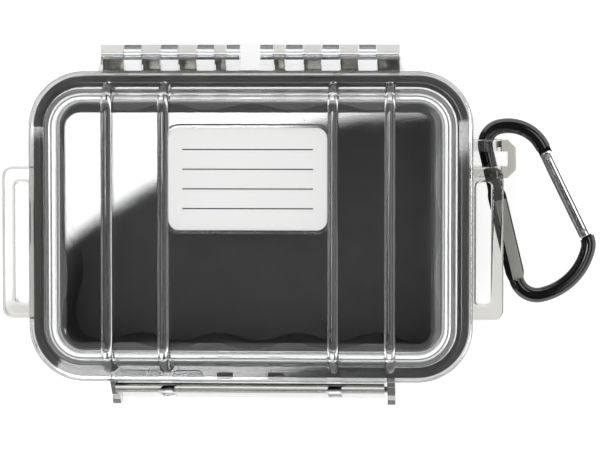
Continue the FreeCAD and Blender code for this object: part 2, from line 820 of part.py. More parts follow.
liner = new_body("liner")
tray = new_sketch(liner, "LinerTray", offset=liner_low_z)
draw_centred(tray, liner_x - liner_lean, liner_y - liner_lean, liner_round - liner_lean)
pad(liner, tray, liner_rim_z - liner_low_z, draft=draft_angle)
round_edges(liner, "LinerFootRound", base_floor_round, lambda middle, edge: near(middle.z, liner_low_z))
cuff = new_sketch(liner, "LinerCuff", offset=liner_rim_z)
cuff_inset = rim_lip + seat_gap
draw_centred(cuff, rim_end_x - cuff_inset, rim_end_y - cuff_inset, rim_corner - cuff_inset)
pad(liner, cuff, liner_rim)
bead = new_sketch(liner, "SealBead", offset=liner_top_z)
bead_in = seal_bead_inset + seal_bead_width
draw_centred(bead, rim_end_x - seal_bead_inset, rim_end_y - seal_bead_inset, rim_corner - seal_bead_inset)
draw_centred(bead, rim_end_x - bead_in, rim_end_y - bead_in, rim_corner - bead_in)
pad(liner, bead, seal_bead_height)

scallops = new_sketch(liner, "LinerHollow", offset=liner_top_z)
room_x = liner_x - liner_wall
room_y = liner_y - liner_wall
flat_x = room_x - liner_corner
flat_y = room_y - liner_corner
corners = [(flat_x, -room_y), (room_x, flat_y), (-flat_x, room_y), (-room_x, -flat_y)]
starts = [(-flat_x, -room_y), (room_x, -flat_y), (flat_x, room_y), (-room_x, flat_y)]
steps = [(1, 0), (0, 1), (-1, 0), (0, -1)]
walls = [
    (flat_x * 2, front_scallops),
    (flat_y * 2, side_scallops),
    (flat_x * 2, front_scallops),
    (flat_y * 2, side_scallops),
]
for turn, (start, along, (length, count)) in enumerate(zip(starts, steps, walls)):
    draw_scallops(scallops, start, along, (-along[1], along[0]), length, count)
    draw_arc(scallops, corners[turn], starts[(turn + 1) % len(starts)], liner_corner)
pocket(liner, scallops, liner_top_z - inner_floor_z)
vent = new_sketch(liner, "LinerValveHole", "YZ_Plane", -wall_end_x)
draw_circle(vent, 0, valve_z, valve_nut + valve_nut_room)
pocket(liner, vent, side_wall + liner_wall + scallop_depth, back=True)


# Latch

latch_in_y = rim_end_y + latch_gap
latch_out_y = latch_in_y + latch_wall
lip_tip_y = rim_end_y - latch_lip_reach
lip_low_z = lid_rim_z + latch_gap
lip_top_z = lip_low_z + latch_lip

latch = new_body("latch")
flap = new_sketch(latch, "LatchFlap", "YZ_Plane", -latch_half)
draw_polygon(
    flap,
    [
        (-latch_in_y, lip_low_z),
        (-lip_tip_y, lip_low_z),
        (-lip_tip_y, lip_top_z),
        (-latch_out_y, lip_top_z),
        (-latch_pin_y - latch_barrel, latch_pin_z),
        (-latch_pin_y + latch_barrel, latch_pin_z),
    ],
)
pad(latch, flap, latch_half * 2)
latch_barrel_sketch = new_sketch(latch, "LatchBarrel", "YZ_Plane", -latch_half)
draw_circle(latch_barrel_sketch, -latch_pin_y, latch_pin_z, latch_barrel)
pad(latch, latch_barrel_sketch, latch_half * 2)
round_edges(
    latch,
    "LatchTopRound",
    latch_round,
    lambda middle, edge: near(middle.z, lip_top_z) and near(middle.y, -latch_out_y),
)
notches = new_sketch(latch, "LatchNotches", offset=lip_top_z)
notch_half = rib_width / 2 + latch_rib_gap
for side in (-1, 1):
    place = inner_rib_x * side
    draw_box(notches, place - notch_half, place + notch_half, -latch_in_y, -lip_tip_y + overrun)
draw_box(notches, -tab_half, tab_half, -latch_in_y, -lip_tip_y + overrun)
pocket(latch, notches, latch_lip + latch_gap)
lip_middle_z = (lip_low_z + lip_top_z) / 2
round_edges(
    latch,
    "LatchLipCorners",
    latch_lip_corner,
    lambda middle, edge: near(middle.z, lip_middle_z) and near(middle.y, -lip_tip_y),
)
flutes = new_sketch(latch, "LatchFlutes", offset=lip_top_z)
for side in (-1, 1):
    place = inner_rib_x * side
    out_y = latch_pin_y + latch_barrel + overrun
    draw_box(flutes, place - notch_half, place + notch_half, -out_y, -latch_out_y + latch_flute)
pocket(latch, flutes, lip_top_z - latch_pin_z - latch_barrel)
latch_bore = new_sketch(latch, "LatchBore", "YZ_Plane")
draw_circle(latch_bore, -latch_pin_y, latch_pin_z, pin_radius + pin_clearance)
pocket(latch, latch_bore, (latch_half + overrun) * 2, middle=True)


# Pins, label and valve


def add_rod(name, plane, x, y, start, length, radius):
    """A round rod that stands on a plane, with its ends broken by a small round."""
    rod = new_body(name)
    face = new_sketch(rod, f"{name}_face", plane, start)
    draw_circle(face, x, y, radius)
    pad(rod, face, length)
    ends = (start, start + length)
    round_edges(
        rod,
        f"{name}_ends",
        rod_end_round,
        lambda middle, edge: any(near(middle.dot(normals[plane]), end) for end in ends),
    )
    return rod


def add_ring(body, name, plane, x, y, start, length, outer, inner=0):
    """A round disc or ring that stands on a plane."""
    face = new_sketch(body, name, plane, start)
    draw_circle(face, x, y, outer)
    if inner:
        draw_circle(face, x, y, inner)
    return pad(body, face, length)


normals = {
    "XY_Plane": Vector(0, 0, 1),
    "XZ_Plane": Vector(0, -1, 0),
    "YZ_Plane": Vector(1, 0, 0),
}
hinge_pin_length = hinge_end_x - hinge_start_x
add_rod("hinge_pin_left", "YZ_Plane", hinge_y, parting_z, -hinge_end_x, hinge_pin_length, pin_radius)
add_rod("hinge_pin_right", "YZ_Plane", hinge_y, parting_z, hinge_start_x, hinge_pin_length, pin_radius)
latch_pin_half = latch_half + ear_gap + ear_wall
add_rod(
    "latch_pin", "YZ_Plane", -latch_pin_y, latch_pin_z, -latch_pin_half, latch_pin_half * 2, pin_radius
)

label = new_body("label_plate")
label_face = new_sketch(label, "LabelFace", offset=lid_top_z)
label_x = label_length / 2
label_half_y = label_width / 2
draw_rounded(
    label_face, -label_x, label_x, label_y - label_half_y, label_y + label_half_y, label_corner
)
pad(label, label_face, label_thickness)

boss_x = -wall_end_x - valve_boss_height
flange_in_x = boss_x - seat_gap
flange_out_x = flange_in_x - valve_flange
nut_out_x = -hollow_x + slope(liner_seat_z - valve_z, draft_angle) + seat_gap * 2

valve = new_body("valve_body")
add_ring(valve, "ValveFlange", "YZ_Plane", 0, valve_z, flange_out_x, valve_flange, valve_flange_radius)
shank_length = nut_out_x + valve_nut_width + valve_tip - flange_in_x
add_ring(valve, "ValveShank", "YZ_Plane", 0, valve_z, flange_in_x, shank_length, valve_shank)
passage = new_sketch(valve, "ValvePassage", "YZ_Plane", flange_out_x)
draw_circle(passage, 0, valve_z, valve_passage)
pocket(valve, passage, valve_flange + shank_length, back=True)
well = new_sketch(valve, "ValveWell", "YZ_Plane", flange_out_x)
draw_circle(well, 0, valve_z, valve_well)
pocket(valve, well, valve_well_depth, back=True)
seal_groove = new_sketch(valve, "ValveSealGroove", "YZ_Plane", flange_in_x)
draw_circle(seal_groove, 0, valve_z, valve_seal_radius + valve_seal_wire + seat_gap)
draw_circle(seal_groove, 0, valve_z, valve_seal_radius - valve_seal_wire - seat_gap)
pocket(valve, seal_groove, valve_seal_wire * 2 - seat_gap / 2)

seal = doc.addObject("Part::Torus", "valve_seal")
seal.Label = "valve_seal"
seal.setExpression("Radius1", formula_of(valve_seal_radius))
seal.setExpression("Radius2", formula_of(valve_seal_wire))
seal.Placement = FreeCAD.Placement(Vector(), FreeCAD.Rotation(Vector(0, 1, 0), 90))
seal.setExpression("Placement.Base.x", formula_of(boss_x - valve_seal_wire - seat_gap / 4))
seal.setExpression("Placement.Base.z", formula_of(valve_z))

membrane = new_body("valve_membrane")
well_floor_x = flange_out_x + valve_well_depth
membrane_x = well_floor_x - valve_membrane_thickness
add_ring(
    membrane,
    "MembraneDisc",
    "YZ_Plane",
    0,
    valve_z,
    membrane_x,
    valve_membrane_thickness,
    valve_well - seat_gap,
)

cap = new_body("valve_cap")
add_ring(cap, "CapDisc", "YZ_Plane", 0, valve_z, flange_out_x - valve_cap_wall, valve_cap_wall, valve_flange_radius)
skirt_length = membrane_x - flange_out_x - seat_gap
add_ring(
    cap,
    "CapSkirt",
    "YZ_Plane",
    0,
    valve_z,
    flange_out_x,
    skirt_length,
    valve_well - seat_gap,
    valve_well - valve_cap_skirt,
)
vents = new_sketch(cap, "CapVents", "YZ_Plane", flange_out_x - valve_cap_wall)
for turn in range(cap_vents):
    angle = math.tau * turn / cap_vents
    draw_circle(
        vents,
        cap_vent_circle * math.cos(angle),
        valve_z + cap_vent_circle * math.sin(angle),
        cap_vent_radius,
    )
pocket(cap, vents, valve_cap_wall, back=True)

nut = new_body("valve_nut")
nut_face = new_sketch(nut, "NutFace", "YZ_Plane", nut_out_x)
hexagon = [math.tau * turn / nut_sides for turn in range(nut_sides)]
draw_polygon(
    nut_face,
    [(valve_nut * math.cos(angle), valve_z + valve_nut * math.sin(angle)) for angle in hexagon],
)
draw_circle(nut_face, 0, valve_z, valve_shank + pin_clearance)
pad(nut, nut_face, valve_nut_width)


# Snap hook: a bent rod, its gate and the gate's small pieces

def turned(x, y, angle):
    """A point turned about the origin by an angle in degrees."""
    bend = math.radians(angle)
    return (x * math.cos(bend) - y * math.sin(bend), x * math.sin(bend) + y * math.cos(bend))


def clip_point(x, y):
    """A point of the snap hook's own plane as a point of the case."""
    along, up = turned(x, y, clip_lean)
    return (clip_x + along, clip_y + up)


def place_body(body, x, y, angle):
    """Puts a body of the snap hook in its place, turned in the case's plane."""
    body.Placement = FreeCAD.Placement(Vector(), FreeCAD.Rotation(Vector(0, 0, 1), float(angle)))
    body.setExpression("Placement.Base.x", formula_of(x))
    body.setExpression("Placement.Base.y", formula_of(y))
    body.setExpression("Placement.Base.z", formula_of(clip_z))


def walk_arc(x, y, heading, radius, turn):
    """Where an arc ends that sets out along a heading and turns left by an angle, and its new heading."""
    side = 1 if turn > 0 else -1
    start = math.radians(heading)
    end = math.radians(heading + turn)
    far_x = x + side * radius * (math.sin(end) - math.sin(start))
    far_y = y + side * radius * (math.cos(start) - math.cos(end))
    return far_x, far_y, heading + turn


def draw_route(sketch, start, heading, legs):
    """Tangent lines and arcs from a point: each leg is a length, or a radius and a turn."""
    x, y = start
    for leg in legs:
        before = (x, y)
        if len(leg) == 1:
            step = math.radians(heading)
            x = x + leg[0] * math.cos(step)
            y = y + leg[0] * math.sin(step)
            draw_line(sketch, before, (x, y))
            continue
        radius, turn = leg
        x, y, heading = walk_arc(x, y, heading, radius, turn)
        if turn > 0:
            draw_arc(sketch, before, (x, y), radius)
        else:
            draw_arc(sketch, (x, y), before, radius)
    return x, y, heading


def sweep_rod(body, name, heading, legs):
    """A round rod from the body's origin along a route of tangent legs."""
    route = new_sketch(body, f"{name}Route")
    end = draw_route(route, (0, 0), heading, legs)
    section = new_sketch(body, f"{name}Section", "XZ_Plane")
    draw_circle(section, 0, 0, clip_rod)
    doc.recompute()
    pipe = body.newObject("PartDesign::AdditivePipe", f"{name}Rod")
    pipe.Profile = section
    pipe.Spine = (route, [f"Edge{number}" for number in range(1, len(legs) + 1)])
    return end


clip = new_body("clip_body")
top_legs = [
    (clip_top_bend, -upright),
    (clip_top_sweep, gate_lean - upright),
    (pivot_drop - tongue_reach,),
]
foot_legs = [
    (clip_spine,),
    (clip_foot_bend, upright),
    (clip_foot_sweep, clip_foot_turn),
    (clip_nose_bend, gate_lean + upright - clip_foot_turn),
]
foot_end = sweep_rod(clip, "ClipFoot", -upright, foot_legs)
top_end = sweep_rod(clip, "ClipTop", upright, top_legs)


def beside(end, forward, left):
    """A point set off from a route's end, forward along its heading and to its left."""
    x, y, heading = end
    step = math.radians(heading)
    return (
        x + forward * math.cos(step) - left * math.sin(step),
        y + forward * math.sin(step) + left * math.cos(step),
    )


def beside_box(end, near_end, far_end, right, left):
    """A rectangle laid along a route's heading."""
    return [
        beside(end, near_end, -right),
        beside(end, far_end, -right),
        beside(end, far_end, left),
        beside(end, near_end, left),
    ]


pivot = beside(top_end, tongue_reach, 0)
tongue = new_sketch(clip, "PivotTongue", offset=-tongue_half)
draw_polygon(tongue, beside_box(top_end, -overrun, tongue_reach, tongue_round, tongue_round))
pad(clip, tongue, tongue_half * 2)
tongue_end = new_sketch(clip, "PivotTongueEnd", offset=-tongue_half)
draw_circle(tongue_end, *pivot, tongue_round)
pad(clip, tongue_end, tongue_half * 2)
nose = new_sketch(clip, "NoseTongue", offset=-tongue_half)
draw_polygon(nose, beside_box(foot_end, -overrun, nose_reach, nose_half, nose_half))
pad(clip, nose, tongue_half * 2)
rivet_hole = new_sketch(clip, "PivotHole")
draw_circle(rivet_hole, *pivot, rivet_radius + pin_clearance)
pocket(clip, rivet_hole, clip_rod * 2, middle=True)
catch_reach = nose_reach * nose_pin_share
catch_half = nose_pin_radius + nose_pin_room
catch = new_sketch(clip, "NoseCatch")
draw_polygon(
    catch,
    beside_box(foot_end, catch_reach - catch_half, catch_reach + catch_half, catch_half, nose_half + overrun),
)
pocket(clip, catch, clip_rod * 2, middle=True)
plate_half_z = clip_rod - spine_flat_depth
plate = new_sketch(clip, "SpinePlate", offset=-plate_half_z)
draw_polygon(
    plate,
    [
        (-clip_rod, -spine_flat_start),
        (-spine_plate_half, -spine_flat_start - spine_plate_taper),
        (-spine_plate_half, spine_plate_taper - clip_spine),
        (-clip_rod, -clip_spine),
        (clip_rod, -clip_spine),
        (spine_plate_half, spine_plate_taper - clip_spine),
        (spine_plate_half, -spine_flat_start - spine_plate_taper),
        (clip_rod, -spine_flat_start),
    ],
)
pad(clip, plate, plate_half_z * 2)
for side, name in ((-1, "Lower"), (1, "Upper")):
    flat_face = new_sketch(clip, f"SpineFlat{name}", offset=plate_half_z * side)
    draw_box(flat_face, -clip_rod, clip_rod, -clip_spine, -spine_flat_start)
    pocket(clip, flat_face, spine_flat_depth + overrun, back=side > 0)
place_body(clip, clip_x, clip_y, clip_lean)

pivot_gap = math.hypot(foot_end[0] - pivot[0], foot_end[1] - pivot[1])
gate_length = pivot_gap - gate_tip_gap
gate_slot = tongue_half + gate_slot_gap
gate_x, gate_y = clip_point(*pivot)
gate_turn = clip_lean + gate_lean

gate = new_body("clip_gate")
gate_face = new_sketch(gate, "GateTube", "XZ_Plane", -gate_radius)
draw_circle(gate_face, 0, 0, gate_radius)
pad(gate, gate_face, gate_radius + gate_length)
round_edges(gate, "GateTail", gate_radius - seat_gap, lambda middle, edge: near(middle.y, gate_radius))
round_edges(gate, "GateTip", rod_end_round, lambda middle, edge: near(middle.y, -gate_length))
gate_hollow = new_sketch(gate, "GateBore", "XZ_Plane", gate_slot_top - overrun)
draw_circle(gate_hollow, 0, 0, gate_bore)
bore_length = gate_length - gate_slot_top - gate_slot_nose
pocket(gate, gate_hollow, bore_length, back=True)
slots = new_sketch(gate, "GateSlots", "YZ_Plane")
draw_box(slots, -gate_slot_top, gate_radius + overrun, -gate_slot, gate_slot)
draw_box(slots, -gate_length - overrun, -gate_length + gate_slot_nose, -gate_slot, gate_slot)
pocket(gate, slots, (gate_radius + overrun) * 2, middle=True)
gate_holes = new_sketch(gate, "GateHoles")
draw_circle(gate_holes, 0, 0, rivet_radius + pin_clearance)
draw_circle(gate_holes, 0, catch_reach - pivot_gap, nose_pin_radius + pin_clearance)
pocket(gate, gate_holes, (gate_radius + overrun) * 2, middle=True)

rivet = add_rod("gate_rivet", "XY_Plane", 0, 0, -gate_radius, gate_radius * 2, rivet_radius)
nose_pin = add_rod(
    "gate_nose_pin",
    "XY_Plane",
    0,
    catch_reach - pivot_gap,
    -gate_radius,
    gate_radius * 2,
    nose_pin_radius,
)
plunger_start = gate_slot_top + seat_gap
plunger = add_rod(
    "gate_plunger", "XZ_Plane", 0, 0, plunger_start, plunger_length, gate_bore - seat_gap
)
spring_start = plunger_start + plunger_length + seat_gap
spring = new_body("gate_spring")
add_ring(
    spring,
    "SpringSleeve",
    "XZ_Plane",
    0,
    0,
    spring_start,
    gate_slot_top + bore_length - overrun - seat_gap - spring_start,
    spring_radius,
    spring_radius - spring_wire,
)
for small in (gate, rivet, nose_pin, plunger, spring):
    place_body(small, gate_x, gate_y, gate_turn)


# Checks and export

doc.recompute()
pieces = [thing for thing in doc.Objects if thing.TypeId == "PartDesign::Body"] + [seal]
for thing in doc.Objects:
    if {"Invalid", "Error"} & set(thing.State):
        raise ValueError(f"{thing.Name} failed: {thing.State}")
for piece in pieces:
    if piece.Shape.isNull() or not piece.Shape.isValid():
        raise ValueError(f"{piece.Label} has no valid shape")
for piece in pieces:
    piece.Shape.exportStep(f"parts/{piece.Label}.step")
    box = piece.Shape.BoundBox
    print(f"{piece.Label}: {len(piece.Shape.Solids)} solid, {piece.Shape.Volume:.1f} mm3, z {box.ZMin:.2f} to {box.ZMax:.2f}")
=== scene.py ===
# %% [markdown]
# # A compact hard case, seen from above
# The case is a clear polycarbonate base and lid over a black rubber liner. A wide clear latch
# closes it, a pressure valve sits in its left wall, and a black snap hook hangs in a lug on its
# right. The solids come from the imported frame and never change. This file gives them their
# finishes, winds the spring, draws the label's print, and lights the case.

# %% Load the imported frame
import bpy
import math
from mathutils import Matrix, Vector


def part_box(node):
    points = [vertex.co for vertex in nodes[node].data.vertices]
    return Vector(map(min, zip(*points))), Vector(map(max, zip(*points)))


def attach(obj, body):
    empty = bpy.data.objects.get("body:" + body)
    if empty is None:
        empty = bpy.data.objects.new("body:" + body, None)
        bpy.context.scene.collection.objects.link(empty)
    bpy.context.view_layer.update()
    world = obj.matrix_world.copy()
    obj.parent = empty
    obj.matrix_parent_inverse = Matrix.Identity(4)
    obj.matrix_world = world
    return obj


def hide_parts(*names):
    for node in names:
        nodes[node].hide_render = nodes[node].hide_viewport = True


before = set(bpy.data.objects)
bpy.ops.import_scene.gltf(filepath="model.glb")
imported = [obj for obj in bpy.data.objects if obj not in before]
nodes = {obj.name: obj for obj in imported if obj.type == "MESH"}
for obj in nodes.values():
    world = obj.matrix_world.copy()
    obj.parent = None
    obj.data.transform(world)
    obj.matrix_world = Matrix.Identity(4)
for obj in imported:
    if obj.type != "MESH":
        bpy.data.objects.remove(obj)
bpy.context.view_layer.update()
MM = 0.001

# %% [markdown]
# ## Camera
# The photograph was taken from almost straight above with a long lens. The vertical walls of the
# case lean away from one point near the snap hook, so the camera stands over that point and aims
# at the picture's middle. The picture is 600 pixels wide and shows the lid's top at 3.54 pixels
# to a millimetre, which fixes the lens.

# %% Camera over the case
PICTURE_WIDTH_PX = 600
LID_PX_PER_MM = 3.542
CAMERA_HEIGHT_MM = 800
CAMERA_OVER_MM = (59, 42)
PICTURE_MIDDLE_MM = (15.0, 1.2)
SENSOR_MM = 36
CLIP_NEAR = 0.05
CLIP_FAR = 20
lid_top_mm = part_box("lid_shell")[1].z / MM
camera_place = Vector((*CAMERA_OVER_MM, lid_top_mm + CAMERA_HEIGHT_MM)) * MM
camera_aim = Vector((*PICTURE_MIDDLE_MM, lid_top_mm)) * MM

camera_data = bpy.data.cameras.new("camera")
camera_data.sensor_width = SENSOR_MM
camera_data.lens = LID_PX_PER_MM * CAMERA_HEIGHT_MM / PICTURE_WIDTH_PX * SENSOR_MM
camera_data.clip_start = CLIP_NEAR
camera_data.clip_end = CLIP_FAR
camera = bpy.data.objects.new("camera", camera_data)
bpy.context.scene.collection.objects.link(camera)
forward = (camera_aim - camera_place).normalized()
picture_up = (Vector((0, 1, 0)) - forward * forward.y).normalized()
picture_right = forward.cross(picture_up)
turn = Matrix((picture_right, picture_up, -forward)).transposed()
camera.matrix_world = Matrix.Translation(camera_place) @ turn.to_4x4()
bpy.context.scene.camera = camera
print("lens in mm:", round(camera_data.lens, 1))

# %% [markdown]
# ## Small helpers
# Colours are written as sRGB hex values, as a paint chip gives them, and one function turns them
# into the linear numbers that the renderer adds up. One more function adds a shader node with its
# settings and its links, so that each material below reads as a short list.


# %% Colours and shader nodes
def colour(code):
    """An sRGB hex code as linear red, green, blue and alpha."""
    channels = [int(code[place:place + 2], 16) / 255 for place in (1, 3, 5)]
    linear = [c / 12.92 if c <= 0.04045 else ((c + 0.055) / 1.055) ** 2.4 for c in channels]
    return (*linear, 1.0)


def add_node(tree, kind, settings=None, sockets=None):
    """Adds a node; a socket takes a value, or the output that feeds it."""
    made = tree.nodes.new(kind)
    for name, value in (settings or {}).items():
        setattr(made, name, value)
    for name, value in (sockets or {}).items():
        if isinstance(value, bpy.types.NodeSocket):
            tree.links.new(value, made.inputs[name])
        else:
            made.inputs[name].default_value = value
    return made


def new_material(name):
    """An empty node material, and its tree."""
    made = bpy.data.materials.new(name)
    made.use_nodes = True
    made.node_tree.nodes.clear()
    return made, made.node_tree


def surface(tree, sockets):
    """A surface shader with the given sockets."""
    return add_node(tree, "ShaderNodeBsdfPrincipled", sockets=sockets).outputs["BSDF"]


def close_material(tree, shader, volume=None):
    """Feeds the material's output."""
    end = add_node(tree, "ShaderNodeOutputMaterial", sockets={"Surface": shader})
    if volume:
        tree.links.new(volume, end.inputs["Volume"])


def maths(tree, operation, first, second=0.0):
    """One sum of two values."""
    return add_node(
        tree, "ShaderNodeMath", {"operation": operation}, {0: first, 1: second}
    ).outputs["Value"]


# %% [markdown]
# Patterns are measured on the object in real millimetres, and each is turned into a colour, a
# roughness or a bump.


# %% Patterns
def object_place(tree, stretch=(1, 1, 1)):
    """The point of the object in metres, stretched to draw a pattern long or short."""
    place = add_node(tree, "ShaderNodeTexCoord").outputs["Object"]
    return add_node(
        tree, "ShaderNodeMapping", sockets={"Vector": place, "Scale": stretch}
    ).outputs["Vector"]


def grain(tree, size_mm, detail=3.0, stretch=(1, 1, 1)):
    """Noise whose blobs measure about size_mm."""
    place = object_place(tree, stretch)
    return add_node(
        tree,
        "ShaderNodeTexNoise",
        sockets={"Vector": place, "Scale": 1 / (size_mm * MM), "Detail": detail},
    ).outputs["Fac"]


def spread(tree, value, low, high):
    """A pattern of 0 to 1 spread over a range."""
    return add_node(
        tree, "ShaderNodeMapRange", sockets={"Value": value, "To Min": low, "To Max": high}
    ).outputs["Result"]


def relief(tree, height, depth_mm):
    """A bump that is depth_mm high."""
    return add_node(
        tree, "ShaderNodeBump", sockets={"Height": height, "Distance": depth_mm * MM}
    ).outputs["Normal"]


def tint(tree, value, low, high):
    """A pattern of 0 to 1 drawn between two colours."""
    return add_node(
        tree,
        "ShaderNodeMixRGB",
        sockets={"Fac": value, "Color1": colour(low), "Color2": colour(high)},
    ).outputs["Color"]


# %% [markdown]
# ## Clear polycarbonate
# The shells and the latch are injection moulded from clear polycarbonate in a polished mould.
# Polycarbonate bends light more than glass does (an index of 1.586), so its edges gather dark and
# bright lines. The surface is nearly a mirror, with a very slow ripple where the plastic flowed
# and shrank, and a trace of handling haze.
#
# Real clear polycarbonate takes very little light on its way through. Here it takes more, blue
# first, and each piece takes its own share: a little real absorption and much painted shade,
# because the photograph's loops, lug and hinge are a light warm grey, which this plain room alone
# would not make them. The shares were chosen by comparing the render with the photograph.


# %% Moulded polycarbonate
KEPT_LIGHT = "#7a6c34"
RIPPLE_MM = 38
RIPPLE_DEPTH_MM = 0.012
HAZE_MM = 9


def polycarbonate(name, absorption_and_shade):
    """Clear moulded polycarbonate with a slow surface ripple; its absorption is partly painted
    shade.
    """
    made, tree = new_material(name)
    haze = grain(tree, HAZE_MM, detail=4.0)
    shader = surface(
        tree,
        {
            "Base Color": colour("#fbfcfd"),
            "Roughness": spread(tree, haze, 0.0, 0.05),
            "IOR": 1.586,
            "Transmission Weight": 1.0,
            "Normal": relief(tree, grain(tree, RIPPLE_MM, detail=1.0), RIPPLE_DEPTH_MM),
        },
    )
    depth = add_node(
        tree,
        "ShaderNodeVolumeAbsorption",
        sockets={"Color": colour(KEPT_LIGHT), "Density": absorption_and_shade},
    )
    close_material(tree, shader, depth.outputs["Volume"])
    return made


# The larger shares, most of all the base's, are painted shade on top of a little real absorption.
lid_polycarbonate = polycarbonate("moulded_polycarbonate_lid", absorption_and_shade=2.0)
base_polycarbonate = polycarbonate("moulded_polycarbonate_base", absorption_and_shade=62.0)
latch_polycarbonate = polycarbonate("moulded_polycarbonate_latch", absorption_and_shade=14.0)

# %% [markdown]
# ## Rubber
# The liner is moulded from a soft black rubber. Its mould was spark eroded, which leaves a fine
# matte grain, so it scatters light softly and never shows a sharp highlight. Its colour here is a
# dark grey, because that is how light the rubber looks through the lid in the photograph.


# %% Moulded rubber
def moulded_rubber(name, dark, light):
    """Black rubber with a fine matte grain."""
    made, tree = new_material(name)
    shader = surface(
        tree,
        {
            "Base Color": tint(tree, grain(tree, size_mm=6, detail=4.0), dark, light),
            "Roughness": spread(tree, grain(tree, size_mm=0.8), 0.45, 0.62),
            "IOR": 1.52,
            "Normal": relief(tree, grain(tree, size_mm=0.5, detail=2.0), depth_mm=0.02),
        },
    )
    close_material(tree, shader)
    return made


liner_rubber = moulded_rubber("moulded_rubber_liner", "#4a4a48", "#575754")
seal_rubber = moulded_rubber("moulded_rubber_seal", "#161616", "#1f1f1f")

# %% [markdown]
# ## Bare metals
# The pins are drawn stainless steel, so they carry fine lines along their length. The gate is a
# bare aluminium tube that was polished by drawing it through a die.


# %% Steel and polished aluminium
LINE_MM = 0.4
ROUGHNESS_SPREAD = 0.12


def drawn_metal(name, dark, light, stretch, rough, line_depth_mm=0.004):
    """Metal with fine lines along one axis."""
    made, tree = new_material(name)
    lines = grain(tree, LINE_MM, detail=2.0, stretch=stretch)
    shader = surface(
        tree,
        {
            "Base Color": tint(tree, lines, dark, light),
            "Metallic": 1.0,
            "Roughness": spread(tree, lines, rough, rough + ROUGHNESS_SPREAD),
            "Normal": relief(tree, lines, line_depth_mm),
        },
    )
    close_material(tree, shader)
    return made


pin_steel = drawn_metal(
    "drawn_stainless_pins", "#b9bbbd", "#d6d7d8", stretch=(0.05, 1, 1), rough=0.2
)
rivet_steel = drawn_metal(
    "headed_stainless_rivets", "#b4b6b8", "#cfd1d3", stretch=(1, 1, 0.1), rough=0.22
)
spring_steel = drawn_metal(
    "wound_spring_steel", "#8f9193", "#a9abad", stretch=(1, 1, 1), rough=0.25
)
gate_aluminium = drawn_metal(
    "drawn_polished_aluminium",
    "#e2e3e3",
    "#f4f4f4",
    stretch=(0.4, 0.2, 1),
    rough=0.08,
    line_depth_mm=0.0002,
)

# %% [markdown]
# ## Anodised hook
# The snap hook is black anodised aluminium: the dyed oxide is a hard glassy skin over the bent
# rod. The flat along its spine is grey in the photograph, so a strip of it that faces up is
# painted satin grey here: a painted reflection of a light.

# %% Black anodised aluminium
SPINE_LEAN = math.radians(13.4)
SPINE_TOP = Vector((67.7, 22.2, 0)) * MM
SPINE_DOWN = Vector((math.sin(SPINE_LEAN), -math.cos(SPINE_LEAN), 0))
SPINE_ACROSS = Vector((math.cos(SPINE_LEAN), math.sin(SPINE_LEAN), 0))
# Where the painted reflection lies on the spine's flat, in millimetres.
STRIP_ALONG_MM = (15.5, 39.6)
STRIP_ACROSS_MM = (-1.0, 2.35)
FACES_UP = 0.995


def anodised_aluminium(name):
    """Black anodised rod with a glassy skin, and a painted reflection: a grey strip along its flat
    spine.
    """
    made, tree = new_material(name)
    place = add_node(tree, "ShaderNodeTexCoord")
    facing = add_node(tree, "ShaderNodeSeparateXYZ", sockets={"Vector": place.outputs["Normal"]})

    def between(way, low_mm, high_mm):
        """1 where the distance from the spine's top along a way lies between two values."""
        reach = add_node(
            tree,
            "ShaderNodeVectorMath",
            {"operation": "DOT_PRODUCT"},
            {0: place.outputs["Object"], 1: way},
        ).outputs["Value"]
        start = SPINE_TOP.dot(way)
        above = maths(tree, "GREATER_THAN", reach, start + low_mm * MM)
        below = maths(tree, "LESS_THAN", reach, start + high_mm * MM)
        return maths(tree, "MULTIPLY", above, below)

    upright = maths(tree, "ABSOLUTE", facing.outputs["Z"])
    flat = maths(tree, "GREATER_THAN", upright, FACES_UP)
    along = between(SPINE_DOWN, *STRIP_ALONG_MM)
    across = between(SPINE_ACROSS, *STRIP_ACROSS_MM)
    # The upward-facing strip of the spine's flat gets a painted reflection in place of the black
    # skin.
    painted_reflection_mask = maths(tree, "MULTIPLY", flat, maths(tree, "MULTIPLY", along, across))
    skin = surface(
        tree,
        {
            "Base Color": tint(tree, grain(tree, size_mm=2.5), "#0b0b0c", "#151517"),
            "Roughness": spread(tree, grain(tree, size_mm=0.7), 0.06, 0.12),
            "IOR": 1.65,
            "Normal": relief(tree, grain(tree, size_mm=0.6, detail=2.0), depth_mm=0.003),
        },
    )
    # The painted reflection: a satin grey, with a grain stretched along the rod.
    reflection_stretch = (1, 0.2, 1)
    shade = grain(tree, size_mm=1.5, stretch=reflection_stretch)
    painted_reflection = surface(
        tree,
        {
            "Base Color": tint(tree, shade, "#93928c", "#a3a29c"),
            "Roughness": spread(tree, grain(tree, size_mm=0.5, stretch=reflection_stretch), 0.42, 0.55),
            "IOR": 1.65,
        },
    )
    both = add_node(tree, "ShaderNodeMixShader", sockets={0: painted_reflection_mask, 1: skin, 2: painted_reflection})
    close_material(tree, both.outputs["Shader"])
    return made


hook_aluminium = anodised_aluminium("black_anodised_aluminium")

# %% [markdown]
# ## Small plastics
# The valve's parts are moulded in glass-filled black nylon, which is matte and slightly cloudy.
# The membrane is stretched fluoropolymer, soft and white.


# %% Nylon and membrane
def moulded_nylon(name, dark, light):
    """Glass-filled nylon, matte, with a cloudy surface."""
    made, tree = new_material(name)
    shader = surface(
        tree,
        {
            "Base Color": tint(tree, grain(tree, size_mm=3), dark, light),
            "Roughness": spread(tree, grain(tree, size_mm=0.9), 0.38, 0.52),
            "IOR": 1.53,
            "Normal": relief(tree, grain(tree, size_mm=0.4, detail=2.0), depth_mm=0.01),
        },
    )
    close_material(tree, shader)
    return made


